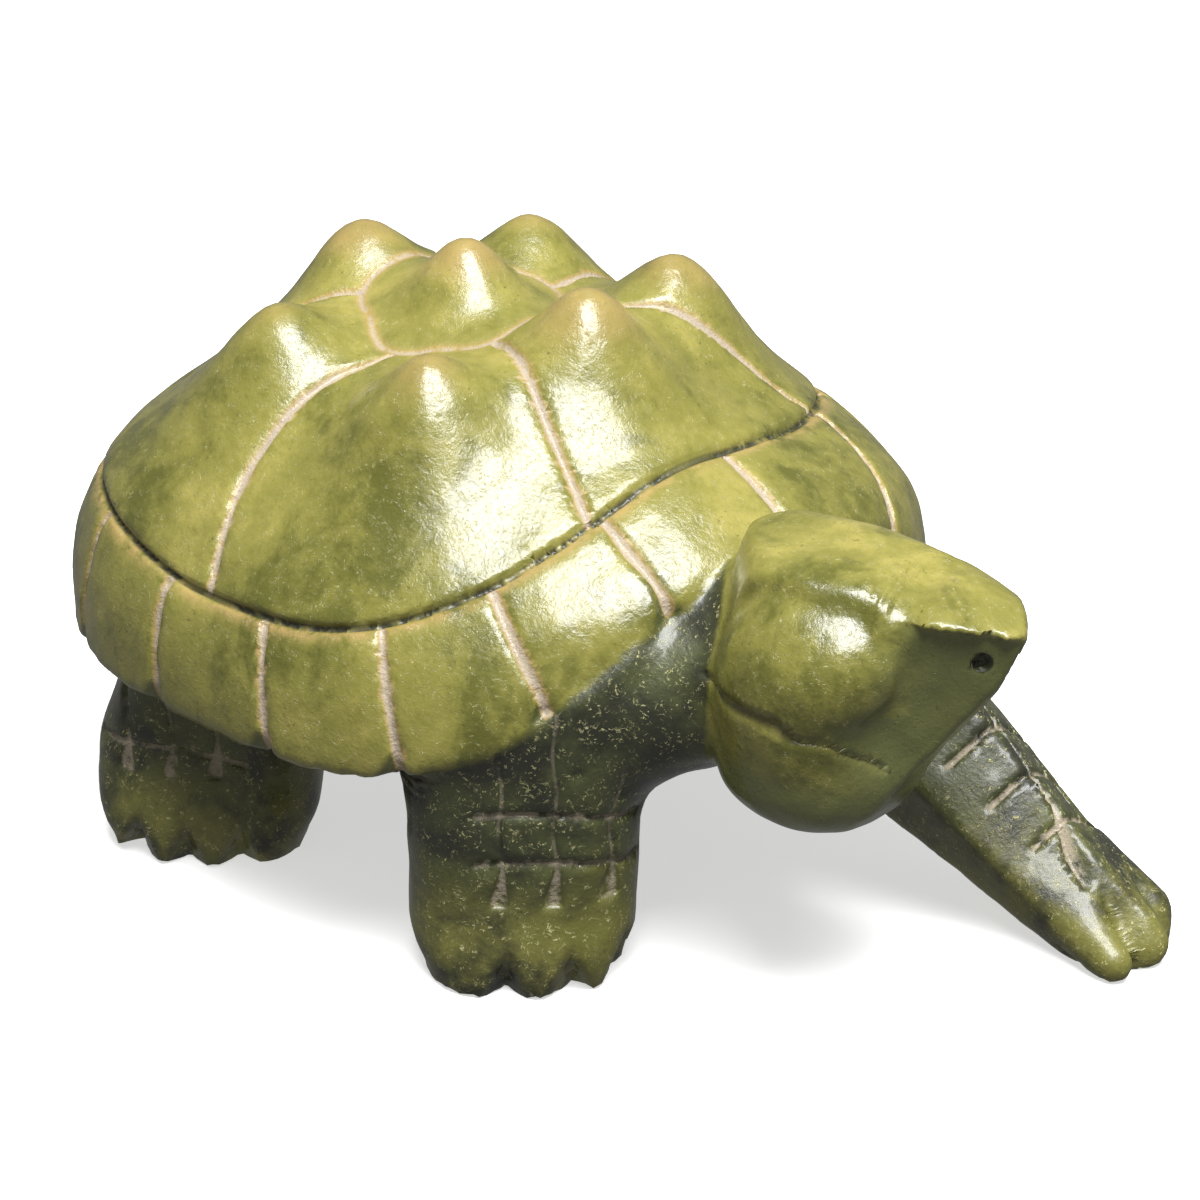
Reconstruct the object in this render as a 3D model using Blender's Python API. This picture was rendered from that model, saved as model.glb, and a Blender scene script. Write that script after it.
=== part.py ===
"""A turtle carved from one block of polished green stone.

The whole carving is one solid. Its form is the zero level of a field that is negative inside the
stone: a domed shell with seven knobs and cut grooves, a flat belly, a thick neck, four legs and a
head that is turned to the turtle's right. Millimetres are used here and turned into metres when
the mesh is made. +X runs to the front, +Y to the turtle's left, +Z up.
"""

import bmesh
import bpy
import numpy as np

MM = 0.001

# Shell
SHELL_TOP = 78.5            # dome height between the knobs, above the ground
SHELL_X = 4.0               # middle of the rim, ahead of the middle knob
RIM_HALF_LENGTH = 63.5
RIM_HALF_WIDTH = 61.5
RIM_SQUARENESS = 2.2
RIM_HEIGHT = 34.5           # lower edge of the rim along the sides
RIM_TILT = 1.5
NECK_ARCH_RISE = 28.5       # how far the rim lifts over the neck
NECK_ARCH_ANGLE = 40.0
BAND_WIDTH = 4.2            # plan width of the band of rim plates along the sides
BAND_FLARE = 9.0            # extra plan width of that band over the neck
FLARE_ANGLE = 50.0
SIDE_FULLNESS = 2.3
FRONT_FULLNESS = 1.65
RIM_EDGE_RADIUS = 2.5
UNDERCUT = 3.0

# Knobs: distance ahead, to the left, rise over the dome, spread
KNOBS = (
    (0.0, 0.0, 15.5, 5.5),
    (30.0, 0.0, 16.5, 7.5),
    (-26.0, 0.0, 15.5, 7.5),
    (21.0, 26.5, 14.5, 7.5),
    (21.0, -26.5, 14.5, 7.5),
    (-12.5, 26.5, 13.0, 7.5),
    (-12.5, -26.5, 13.0, 7.5),
)
KNOB_TIP_RADIUS = 4.0

# Grooves
RING_RADIUS = 15.3
RING_CORNERS = 1.2
SPOKE_ANGLES = (-150.0, -88.0, -26.0, 26.0, 88.0, 150.0)
RIM_PLATE_ANGLES = (-158.0, -138.0, -119.0, -100.0, -78.0, -60.0, -44.0, -26.7, 6.0, 30.0,
                    46.0, 62.0, 80.0, 100.0, 120.0, 140.0, 160.0, 179.0)
GROOVE_WIDTH = 1.9
GROOVE_DEPTH = 0.8

# Belly, neck and head
BELLY_HALF = (54.0, 46.0, 17.0)
BELLY_CENTRE = (2.0, 0.0, 40.0)
BELLY_FLAT = 23.5
CORE_CENTRE = (6.0, 0.0, 50.0)      # fills the shell under the dome
CORE_HALF = (40.0, 40.0, 20.0)
SHOULDER_POINTS = ((30.0, 26.0, 46.0, 14.0), (50.0, 17.0, 50.0, 13.0))
NECK_POINTS = ((36.0, 0.0, 46.0, 20.0), (60.0, -1.0, 49.0, 18.0), (84.0, 4.0, 56.0, 14.0))
HEAD_CENTRE = (93.2, -3.3, 70.6)    # midway between the tips of the brows
HEAD_TURN = -82.0
HEAD_ROLL = 6.0
EYE = (4.2, 19.3, -5.7)
EYE_RADIUS = 1.6
MOUTH_ACROSS = (-18.0, -11.7, -1.7, 2.0, 4.5, 7.8)
MOUTH_HEIGHTS = (-22.2, -20.9, -21.0, -20.4, -22.0, -25.0)

# Legs: middle of the foot, direction of the toes, half width, half depth, narrowing towards the top
LEG_TOP = 44.0
COLUMN_LEGS = (
    (45.5, -31.5, -45.0, 17.5, 14.5, 0.0),
    (-18.5, -40.5, -48.0, 18.0, 13.5, 0.3),
    (-30.0, 42.0, 112.0, 17.0, 14.0, 0.2),
)
# Carving on each of those legs, across its front: upright cuts, level cuts, cuts between the toes
LEG_LINES = ((-2.9, 5.2, 13.4), (-11.5, -4.0, 3.0), (-6.0, 1.0, 8.0))
LEG_LEVELS = ((31.0, 23.0), (20.5,), (28.0, 21.0))
LEG_NOTCHES = ((-1.1, 8.1, 15.6), (-10.0, -1.8, 6.5), (-6.0, 2.5, 10.0))
LEG_LINE_END = 15.0
NOTCH_HEIGHT = 7.0
NOTCH_DEPTH = 3.6
STRETCHED_HIP = (54.0, 27.0, 34.0)
STRETCHED_FOOT = (108.5, 35.0, 1.5)
STRETCHED_HALF_WIDTHS = (15.0, 11.0)
STRETCHED_HALF_DEPTHS = (15.0, 7.0)
STRETCHED_ROLL = -30.0

STEP = 1.9
FINEST = 0.6
TRIANGLES = 9200


def smooth_min(a, b, width):
    """The lower of two fields, rounded where they are within the width of each other."""
    mix = np.clip(0.5 + 0.5 * (b - a) / width, 0.0, 1.0)
    return b + (a - b) * mix - width * mix * (1.0 - mix)


def smooth_max(a, b, width):
    return -smooth_min(-a, -b, width)


def fade(low, high, value):
    """0 below low, 1 above high, an S curve between."""
    t = np.clip((value - low) / (high - low), 0.0, 1.0)
    return t * t * (3.0 - 2.0 * t)


def arch(angle, width, power):
    """1 straight ahead, falling to 0 at the sides."""
    return np.exp(-(np.abs(angle) / np.radians(width)) ** power)


def rim_radius(angle):
    c = np.abs(np.cos(angle)) / RIM_HALF_LENGTH
    s = np.abs(np.sin(angle)) / RIM_HALF_WIDTH
    return (c ** RIM_SQUARENESS + s ** RIM_SQUARENESS) ** (-1.0 / RIM_SQUARENESS)


def rim_height(angle):
    return RIM_HEIGHT + RIM_TILT * np.cos(angle) + NECK_ARCH_RISE * arch(angle, NECK_ARCH_ANGLE, 2.8)


def band_radius(angle):
    return rim_radius(angle) - BAND_WIDTH - BAND_FLARE * arch(angle, FLARE_ANGLE, 2.0)


def knob_rise(x, y):
    rise = 0.0
    for ahead, left, height, spread in KNOBS:
        away = np.sqrt((x - ahead) ** 2 + (y - left) ** 2 + KNOB_TIP_RADIUS ** 2) - KNOB_TIP_RADIUS
        rise = rise + height * np.exp(-away / spread)
    return rise


def cut(away, width):
    """A rounded groove's depth at a distance from its middle line, from 1 to 0."""
    return np.exp(-(2.0 * away / width) ** 2)


def turn(angle):
    return (angle + np.pi) % (2.0 * np.pi) - np.pi


def shell_grooves(x, y, r, angle):
    inner = band_radius(angle)
    ring = np.hypot(x, y)
    ring_angle = np.arctan2(y, x)
    ring_line = RING_RADIUS - RING_CORNERS * np.cos(6.0 * ring_angle)
    depth = cut(ring - ring_line, GROOVE_WIDTH)
    on_dome = fade(-0.5, 0.5, ring - ring_line) * fade(-0.5, 0.5, inner - r)
    for spoke in np.radians(SPOKE_ANGLES):
        side = turn(ring_angle - spoke)
        away = np.where(np.abs(side) < 1.0, ring * np.sin(side), 99.0)
        depth = np.maximum(depth, cut(away, GROOVE_WIDTH) * on_dome)
    slope = 2.25 - 1.14 * arch(angle, FLARE_ANGLE, 2.0)
    depth = np.maximum(depth, cut((r - inner) * slope, GROOVE_WIDTH))
    on_band = fade(-0.5, 0.5, r - inner)
    share = np.clip((r - inner) / (rim_radius(angle) - inner), 0.0, 1.0)
    for plate in np.radians(RIM_PLATE_ANGLES):
        lean = 0.25 * arch(plate, 60.0, 2.0)
        away = turn(angle - plate * (1.0 - lean * share)) * r
        depth = np.maximum(depth, cut(away, GROOVE_WIDTH) * on_band)
    return GROOVE_DEPTH * depth


def shell(x, y, z, fine):
    r = np.hypot(x - SHELL_X, y)
    angle = np.arctan2(y, x - SHELL_X)
    radius = rim_radius(angle)
    low = rim_height(angle)
    height = SHELL_TOP - low
    power = SIDE_FULLNESS + (FRONT_FULLNESS - SIDE_FULLNESS) * arch(angle, FLARE_ANGLE, 2.0)
    share = r / radius
    lift = np.maximum((z - knob_rise(x, y) - low) / height, 0.0)
    steep = np.hypot(2.0 * share / radius, power * lift ** (power - 1.0) / height)
    top = (share ** 2 + lift ** power - 1.0) / np.maximum(steep, 0.02)
    if fine:
        top = top + shell_grooves(x, y, r, angle)
    under = (low + UNDERCUT * (1.0 - share) - z) * 0.85
    return smooth_max(top, under, RIM_EDGE_RADIUS)


def blob(x, y, z, centre, half, power=2.0):
    a = (np.abs(x - centre[0]) / half[0]) ** power
    b = (np.abs(y - centre[1]) / half[1]) ** power
    c = (np.abs(z - centre[2]) / half[2]) ** power
    return ((a + b + c) ** (1.0 / power) - 1.0) * min(half)


def limb(x, y, z, points, blend):
    """A round limb along a chain of points, each with its own radius."""
    field = None
    for a, b in zip(points[:-1], points[1:]):
        run = np.subtract(b[:3], a[:3])
        t = ((x - a[0]) * run[0] + (y - a[1]) * run[1] + (z - a[2]) * run[2]) / (run @ run)
        t = np.clip(t, 0.0, 1.0)
        away = np.sqrt((x - a[0] - t * run[0]) ** 2 + (y - a[1] - t * run[1]) ** 2
                       + (z - a[2] - t * run[2]) ** 2) - (a[3] + t * (b[3] - a[3]))
        field = away if field is None else smooth_min(field, away, blend)
    return field


def column_leg(x, y, z, which, fine):
    ahead, left, toes, half_width, half_depth, narrowing = COLUMN_LEGS[which]
    c, s = np.cos(np.radians(toes)), np.sin(np.radians(toes))
    out = (x - ahead) * c + (y - left) * s
    across = -(x - ahead) * s + (y - left) * c
    foot = np.exp(-(z / 5.0) ** 2)
    width = half_width * (1.0 - 0.14 * foot - narrowing * fade(14.0, 34.0, z))
    out = out - 2.0 * fade(16.0, 2.0, z)
    depth = half_depth * (1.0 - 0.04 * foot)
    field = ((np.abs(across) / width) ** 2.6 + (np.abs(out) / depth) ** 2.6) ** (1 / 2.6) - 1.0
    field = field * half_depth
    if fine:
        facing = fade(2.0, 5.0, out)
        field = field + toe_notches(across, z, LEG_NOTCHES[which]) * facing
        groove = 0.0
        for place in LEG_LINES[which]:
            groove = np.maximum(groove, cut(across - place, 2.0) * fade(0.0, 1.0, z - LEG_LINE_END))
        middle = LEG_LINES[which][1]
        for place in LEG_LEVELS[which]:
            level = z - place + 0.012 * (across - middle + 4.0) ** 2
            groove = np.maximum(groove, cut(level, 1.6) * fade(13.5, 12.5, np.abs(across - middle)))
        field = field + GROOVE_DEPTH * groove * facing
    return smooth_max(field, z - LEG_TOP, 4.0)


def toe_notches(across, height, notches):
    depth = 0.0
    for notch in notches:
        width = 2.0 + 4.0 * fade(NOTCH_HEIGHT, 0.0, height)
        depth = np.maximum(depth, cut(across - notch, width))
    return NOTCH_DEPTH * depth * fade(NOTCH_HEIGHT, 1.0, height)


def stretched_leg(x, y, z, fine):
    """A flattened limb from the shoulder to a foot set down far ahead, with a ridge along its top."""
    hip, foot = np.array(STRETCHED_HIP), np.array(STRETCHED_FOOT)
    run = foot - hip
    length = np.linalg.norm(run)
    along = run / length
    side = np.cross((0.0, 0.0, 1.0), along)
    side /= np.linalg.norm(side)
    top = np.cross(along, side)
    roll = np.radians(STRETCHED_ROLL)
    side, top = np.cos(roll) * side + np.sin(roll) * top, np.cos(roll) * top - np.sin(roll) * side
    rel = (x - hip[0], y - hip[1], z - hip[2])
    u, v, w = (rel[0] * a[0] + rel[1] * a[1] + rel[2] * a[2] for a in (along, side, top))
    share = np.clip(u / length, 0.0, 1.0)
    width = STRETCHED_HALF_WIDTHS[0] + (STRETCHED_HALF_WIDTHS[1] - STRETCHED_HALF_WIDTHS[0]) * share
    depth = STRETCHED_HALF_DEPTHS[0] + (STRETCHED_HALF_DEPTHS[1] - STRETCHED_HALF_DEPTHS[0]) * share
    past = np.maximum(u - length, 0.0) / 7.0
    before = np.maximum(-u, 0.0) / 14.0
    field = ((np.abs(v) / width) ** 2.5 + (np.abs(w) / depth) ** 2.5 + past ** 2.5 + before ** 2.5)
    field = (field ** (1 / 2.5) - 1.0) * depth
    if fine:
        upper = fade(0.0, 3.0, w)
        groove = 0.0
        for place in (-1.0, 5.0):
            groove = np.maximum(groove, cut(v - place, 1.7) * fade(20.0, 22.0, u) * fade(52.0, 50.0, u))
        for place in (26.0, 34.0, 42.0):
            groove = np.maximum(groove, cut(u - place, 1.7))
        field = field + GROOVE_DEPTH * groove * upper
    return field


def head_axes():
    yaw, roll = np.radians(HEAD_TURN), np.radians(HEAD_ROLL)
    front = np.array((np.cos(yaw), np.sin(yaw), 0.0))
    left = np.array((-np.sin(yaw), np.cos(yaw), 0.0))
    up = np.array((0.0, 0.0, 1.0))
    return front, np.cos(roll) * left - np.sin(roll) * up, np.cos(roll) * up + np.sin(roll) * left


def mouth_height(l):
    return np.interp(l, MOUTH_ACROSS, MOUTH_HEIGHTS)


def head(x, y, z, fine):
    """Brows over a flat left cheek, a forehead that swells out and narrows to the mouth, and a jaw."""
    rel = (x - HEAD_CENTRE[0], y - HEAD_CENTRE[1], z - HEAD_CENTRE[2])
    f, l, h = (rel[0] * a[0] + rel[1] * a[1] + rel[2] * a[2] for a in head_axes())
    low = np.minimum(h, 0.0)
    behind = 0.779 * np.minimum(f, 0.0)
    edge = 0.6 - 0.006 * (l - 12.0) ** 2
    ledge = 1.6 * fade(-0.7, 0.3, h - edge + 1.0) * fade(8.0, 12.0, l)
    cheek = 0.81 * f + 0.587 * l - 0.03 * h - 14.7 - ledge
    skull = blob(f, l, h, (-4.0, 0.0, -17.0), (17.5, 30.0, 24.0), 2.8)
    skull = smooth_max(skull, (h - 3.2 + 0.006 * l ** 2 + 0.006 * (f + 7.0) ** 2) * 0.95, 1.5)
    skull = smooth_max(skull, 0.75 * (h - 2.4 + 0.008 * l ** 2) - 0.66 * (f + 8.0), 2.5)
    skull = smooth_max(skull, (l - 24.2 - 0.33 * low + 0.0064 * low ** 2 - behind) * 0.75, 1.5)
    skull = smooth_max(skull, (-l - 25.5 + 0.0045 * low ** 2 - behind) * 0.75, 2.0)
    skull = smooth_max(skull, 0.612 * f - 0.786 * l - 19.3 - 3.5 * (1.0 - np.exp(low / 6.0)), 2.0)
    skull = smooth_max(skull, cheek, 0.8)
    jaw = blob(f, l, h, (4.0, -5.5, -27.4), (16.5, 15.0, 13.4), 2.2)
    swell = np.where(l > -4.5, np.clip(18.0 + 0.4 * (h + 5.0), 12.5, 18.0), 16.5)
    forehead = blob(f, (l + 4.5) * 16.0 / swell, h, (5.0, 0.0, -17.0), (17.0, 16.0, 17.0), 2.2)
    field = smooth_min(skull, forehead, 1.5)
    field = smooth_min(field, jaw, 3.0)
    if fine:
        under = mouth_height(l) - h
        bevel = 0.9 + 1.5 * fade(-15.0, -12.0, l) * fade(2.0, -2.0, l)
        slit = np.clip(1.0 - under / bevel, 0.0, 1.0) * fade(-0.35, 0.0, under)
        field = field + 1.6 * slit * fade(6.0, 9.0, f) * fade(8.6, 7.6, l)
        ahead, left, above = f - EYE[0], l - EYE[1], h - EYE[2]
        deep = 0.81 * ahead + 0.587 * left - 0.03 * above
        eye = np.sqrt((ahead - 0.81 * deep) ** 2 + (left - 0.587 * deep) ** 2 + (above + 0.03 * deep) ** 2) - EYE_RADIUS
        field = smooth_max(field, -np.maximum(eye, -3.0 - deep), 0.4)
    return field


def body(x, y, z, fine):
    belly = smooth_max(blob(x, y, z, BELLY_CENTRE, BELLY_HALF, 2.4), BELLY_FLAT - z, 3.0)
    field = smooth_min(belly, blob(x, y, z, CORE_CENTRE, CORE_HALF), 4.0)
    field = smooth_min(field, limb(x, y, z, NECK_POINTS, 6.0), 8.0)
    field = smooth_min(field, limb(x, np.abs(y), z, SHOULDER_POINTS, 4.0), 8.0)
    for which in range(len(COLUMN_LEGS)):
        field = smooth_min(field, column_leg(x, y, z, which, fine), 7.0)
    field = smooth_min(field, stretched_leg(x, y, z, fine), 7.0)
    return smooth_min(field, head(x, y, z, fine), 4.0)


def turtle(points, fine=True):
    """Roughly the distance in millimetres to the surface: below zero inside the stone."""
    x, y, z = points[..., 0], points[..., 1], points[..., 2]
    return smooth_min(shell(x, y, z, fine), body(x, y, z, fine), 1.2)


def plug(value):
    """Fills grid corners where the stone would touch itself only along an edge, so that the net stays closed."""
    again = True
    while again:
        inside = value < 0.0
        fill = np.zeros_like(inside)
        for a, b in ((0, 1), (0, 2), (1, 2)):
            squares = []
            for i, j in ((0, 0), (0, 1), (1, 0), (1, 1)):
                place = [slice(None)] * 3
                place[a], place[b] = slice(i, value.shape[a] - 1 + i), slice(j, value.shape[b] - 1 + j)
                squares.append(tuple(place))
            near, left, right, far = (inside[s] for s in squares)
            touching = (near == far) & (left == right) & (near != left)
            for square in squares:
                fill[square] |= touching
        fill &= ~inside
        value = np.where(fill, -0.2, value)
        again = fill.any()
    return value


def surface_net(low, high, step):
    """One vertex in each grid cell that the surface crosses, one quad for each crossed grid edge."""
    counts = [int(np.ceil((b - a) / step)) + 1 for a, b in zip(low, high)]
    axes = [a + step * np.arange(n) for a, n in zip(low, counts)]
    grid = np.stack(np.meshgrid(*axes, indexing="ij"), -1)
    value = plug(turtle(grid, False))
    inside = value < 0.0
    cells = tuple(n - 1 for n in counts)
    total = np.zeros(cells + (3,))
    hits = np.zeros(cells)
    crossed = []
    for axis in range(3):
        first = [slice(None)] * 3
        second = [slice(None)] * 3
        first[axis], second[axis] = slice(0, -1), slice(1, None)
        first, second = tuple(first), tuple(second)
        cross = inside[first] != inside[second]
        t = np.where(cross, value[first] / np.where(cross, value[first] - value[second], 1.0), 0.0)
        place = grid[first].copy()
        place[..., axis] += t * step
        others = [k for k in range(3) if k != axis]
        for i in (0, 1):
            for j in (0, 1):
                near = [slice(None)] * 3
                near[others[0]] = slice(i, counts[others[0]] - 1 + i)
                near[others[1]] = slice(j, counts[others[1]] - 1 + j)
                near = tuple(near)
                total += np.where(cross[near][..., None], place[near], 0.0)
                hits += cross[near]
        crossed.append((cross, inside[first]))
    used = hits > 0
    index = np.full(cells, -1)
    index[used] = np.arange(used.sum())
    points = total[used] / hits[used][:, None]
    faces = []
    for axis, (cross, starts_inside) in enumerate(crossed):
        i, j, k = np.nonzero(cross)
        place = [i, j, k]
        a, b = [n for n in range(3) if n != axis]
        keep = (place[a] > 0) & (place[b] > 0) & (place[a] < cells[a]) & (place[b] < cells[b])
        place = [p[keep] for p in place]
        flip = starts_inside[cross][keep] ^ (axis == 1)
        corners = []
        for da, db in ((1, 1), (0, 1), (0, 0), (1, 0)):
            corner = [p.copy() for p in place]
            corner[a] -= da
            corner[b] -= db
            corners.append(index[tuple(corner)])
        quad = np.stack(corners, -1)
        quad[~flip] = quad[~flip][:, ::-1]
        faces.append(quad)
    return points, np.concatenate(faces)


def settle(points, rounds=4, reach=1.0):
    """Moves points along the field's slope until they lie on the carved surface."""
    nudge = 0.02
    for _ in range(rounds):
        value = turtle(points)
        slope = np.stack([turtle(points + nudge * d) - turtle(points - nudge * d) for d in np.eye(3)], -1)
        slope /= 2.0 * nudge
        size = np.maximum((slope ** 2).sum(-1), 0.05)
        points = points - slope * np.clip(value / size, -reach, reach)[:, None]
    return points


def split_long(points, corners, longest):
    """Halves each triangle edge that is longer than the length wanted at its middle."""
    edges = np.sort(corners[:, ((0, 1), (1, 2), (2, 0))], -1).reshape(-1, 2)
    edges, which = np.unique(edges, axis=0, return_inverse=True)
    which = which.reshape(-1, 3)
    middle = points[edges].mean(1)
    length = np.linalg.norm(points[edges[:, 0]] - points[edges[:, 1]], axis=1)
    halve = length > longest(middle)
    new = np.full(len(edges), -1)
    new[halve] = len(points) + np.arange(halve.sum())
    points = np.concatenate((points, middle[halve]))
    halved = halve[which]
    count = halved.sum(1)
    first = np.where(count == 1, halved.argmax(1), np.where(count == 2, (~halved).argmax(1) + 1, 0)) % 3
    order = (first[:, None] + np.arange(3)) % 3
    a, b, c = np.take_along_axis(corners, order, 1).T
    ab, bc, ca = np.take_along_axis(new[which], order, 1).T
    plans = {0: ((a, b, c),), 1: ((a, ab, c), (ab, b, c)), 2: ((a, ab, c), (ab, bc, c), (ab, b, bc)),
             3: ((a, ab, ca), (ab, b, bc), (ca, bc, c), (ab, bc, ca))}
    parts = [np.stack(t, -1)[count == n] for n, plan in plans.items() for t in plan]
    return points, np.concatenate(parts)


def detail_size(points):
    """The edge length wanted at a point: fine where the carved detail changes the surface."""
    change = np.abs(turtle(points, True) - turtle(points, False))
    return FINEST + (1.5 * STEP - FINEST) * fade(0.10, 0.02, change)


def reach():
    """The lowest and highest corners of a box with the whole carving in it."""
    margin = 6.0 * STEP
    back = min(SHELL_X - RIM_HALF_LENGTH, BELLY_CENTRE[0] - BELLY_HALF[0])
    wide = max(RIM_HALF_WIDTH, BELLY_HALF[1])
    front = max(STRETCHED_FOOT[0], SHELL_X + RIM_HALF_LENGTH, BELLY_CENTRE[0] + BELLY_HALF[0], HEAD_CENTRE[0] + EYE[1])
    top = max(SHELL_TOP + max(k[2] for k in KNOBS), HEAD_CENTRE[2])
    return (back - margin, -wide - margin, -2.0 * STEP), (front + 1.5 * margin, wide + margin, top + margin)


def turtle_mesh(step):
    points, faces = surface_net(*reach(), step)
    corners = np.concatenate((faces[:, (0, 1, 2)], faces[:, (0, 2, 3)]))
    points = settle(points)
    for _ in range(3):
        points, corners = split_long(points, corners, detail_size)
        points = settle(points, 2)
    mesh = bpy.data.meshes.new("turtle")
    mesh.from_pydata(points * MM, [], corners.tolist())
    mesh.update()
    return mesh


def flat_soles(work):
    """Cuts the feet off level with the ground and closes each sole."""
    everything = work.verts[:] + work.edges[:] + work.faces[:]
    bmesh.ops.bisect_plane(work, geom=everything, dist=1e-6, plane_co=(0, 0, 0), plane_no=(0, 0, -1),
                           clear_outer=True)
    open_edges = [e for e in work.edges if e.is_boundary]
    bmesh.ops.holes_fill(work, edges=open_edges, sides=0)


def stone_material():
    stone = bpy.data.materials.new("green_stone")
    stone.use_nodes = True
    shader = stone.node_tree.nodes["Principled BSDF"]
    shader.inputs["Base Color"].default_value = (0.16, 0.19, 0.04, 1.0)
    shader.inputs["Roughness"].default_value = 0.28
    return stone


def build():
    for old in list(bpy.data.objects):
        bpy.data.objects.remove(old, do_unlink=True)
    mesh = turtle_mesh(STEP)
    turtle_object = bpy.data.objects.new("stone_turtle", mesh)
    bpy.context.collection.objects.link(turtle_object)
    thin = turtle_object.modifiers.new("thin", "DECIMATE")
    faces = sum(len(p.vertices) - 2 for p in mesh.polygons)
    thin.ratio = min(1.0, TRIANGLES / faces)
    thin.use_collapse_triangulate = True
    graph = bpy.context.evaluated_depsgraph_get()
    thinned = bpy.data.meshes.new_from_object(turtle_object.evaluated_get(graph))
    turtle_object.modifiers.clear()
    work = bmesh.new()
    work.from_mesh(thinned)
    flat_soles(work)
    bmesh.ops.triangulate(work, faces=[f for f in work.faces if len(f.verts) > 3])
    corners = np.array([v.co for v in work.verts])
    middle = (corners.min(0) + corners.max(0)) / 2.0
    bmesh.ops.translate(work, verts=work.verts, vec=(-middle[0], -middle[1], 0.0))
    work.to_mesh(thinned)
    work.free()
    turtle_object.data = thinned
    thinned.shade_smooth()
    thinned.materials.append(stone_material())
    return turtle_object, middle


if __name__ == "__main__":
    build()
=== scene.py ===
"""A turtle carved from one block of polished green stone, with its finish, floor and lights.

The carving is the zero level of a field that is negative inside the stone. The field is worked out in
millimetres, with +X to the front, +Y to the turtle's left and +Z up, and set down where the frame's
own solid stands. The carved cuts, the worn places, the dark underside, painted shade in the crevices,
the eye hole and on the cheek and chin, and a painted highlight on the lower lip are written to the mesh
as attributes, and the material reads them together with noise on Object coordinates.
"""

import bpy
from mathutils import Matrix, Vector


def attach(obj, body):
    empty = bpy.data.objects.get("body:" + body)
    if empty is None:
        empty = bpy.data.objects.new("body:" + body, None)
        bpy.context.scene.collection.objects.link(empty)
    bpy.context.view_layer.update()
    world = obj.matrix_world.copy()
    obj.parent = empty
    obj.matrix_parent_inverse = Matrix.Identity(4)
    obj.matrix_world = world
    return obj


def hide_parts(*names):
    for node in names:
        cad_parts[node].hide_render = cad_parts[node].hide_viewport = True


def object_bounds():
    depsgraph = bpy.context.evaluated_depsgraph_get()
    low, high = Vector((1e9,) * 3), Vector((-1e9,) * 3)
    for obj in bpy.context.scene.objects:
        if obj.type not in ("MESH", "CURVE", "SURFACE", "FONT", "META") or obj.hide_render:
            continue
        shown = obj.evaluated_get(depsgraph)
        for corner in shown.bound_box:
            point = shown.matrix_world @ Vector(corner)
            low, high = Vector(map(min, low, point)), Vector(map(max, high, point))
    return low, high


bl_info = {
    "name": "Stone turtle carving",
    "version": (1, 0, 0),
    "blender": (4, 5, 0),
    "location": "3D View > Sidebar > Stone turtle",
    "description": "Carves a turtle in polished green stone and sets it on a pale floor",
    "category": "Object",
}

import bpy
import numpy as np
from bpy.props import FloatProperty, FloatVectorProperty, PointerProperty
from mathutils import Vector

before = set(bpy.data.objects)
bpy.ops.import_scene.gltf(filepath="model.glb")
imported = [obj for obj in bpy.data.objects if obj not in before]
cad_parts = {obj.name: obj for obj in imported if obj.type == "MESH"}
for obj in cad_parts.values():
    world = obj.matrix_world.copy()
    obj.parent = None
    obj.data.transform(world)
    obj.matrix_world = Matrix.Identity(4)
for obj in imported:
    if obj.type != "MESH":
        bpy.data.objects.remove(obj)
FRAME_BOUNDS = [list(corner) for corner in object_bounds()]

MM = 0.001

# Shell, in millimetres and degrees: the dome, the band of rim plates and the arch over the neck.
# SHELL_X is the middle of the rim, ahead of the middle knob.
SHELL_X = 4.0
RIM_HALF_LENGTH = 63.5
RIM_HALF_WIDTH = 61.5
RIM_SQUARENESS = 2.5
FAR_FULLNESS = (3.5, 42.0, 28.0)    # the rim's swell at its front left: how far out, its angle, its spread
RIM_HEIGHT = 33.8
RIM_TILT = 1.5
NECK_ARCH_RISE = 28.5
NECK_ARCH_ANGLE = 36.0
BAND_WIDTH = 5.2
BAND_FLARE = 11.8
BAND_FLARE_LEFT, BAND_FLARE_RIGHT = 70.0, 53.0
FLARE_ANGLE = 50.0
SIDE_FULLNESS = 2.3
# Extra power of the dome at its shoulders, an angle, and the turns from it between which the extra fades in
SHOULDER_FULLNESS = (0.85, -44.0, 50.0, 88.0)
FRONT_FULLNESS = 1.65
UNDERCUT = 3.0
# Knobs: distance ahead, distance to the left, rise over the dome, spread
KNOBS = (
    (0.0, 0.0, 15.5, 3.8),
    (29.0, -1.0, 17.4, 4.9),
    (-26.0, 0.0, 16.5, 4.9),
    (21.0, 26.5, 16.2, 4.9),
    (20.0, -27.5, 14.5, 4.9),
    (-12.5, 26.5, 14.1, 4.9),
    (-14.1, -28.1, 13.2, 4.9),
)
KNOB_TIP_RADIUS = 14.0
RING_RADIUS = 16.5
RING_CORNERS = 0.8
RING_HOLLOW = 3.4
SPOKE_LENGTH = 38.0
CRACK_HALF_WIDTH = 0.62
# Grooves from the ring to the crack: angle at the ring, angle at the crack, bow between, in degrees
SPOKES = ((-150.0, -148.0, 3.0), (-82.0, -88.0, -8.5), (-29.3, -23.3, 1.5), (28.0, 35.6, 3.0),
          (86.0, 90.0, 4.0), (150.0, 149.0, -3.0))
# Cuts between the rim plates: angle at the crack, angle at the rim's edge
RIM_CUTS = ((-158.0, -158.0), (-139.0, -140.0), (-121.0, -121.0), (-100.7, -98.7), (-78.5, -74.3),
            (-58.5, -53.7), (-42.2, -34.8), (-22.6, -17.7), (6.9, 3.3), (40.0, 24.6), (55.0, 47.0),
            (72.0, 68.0), (90.0, 87.0), (110.0, 108.0), (128.0, 127.0), (146.0, 146.0), (163.0, 164.0),
            (-177.0, -177.0))

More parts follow.
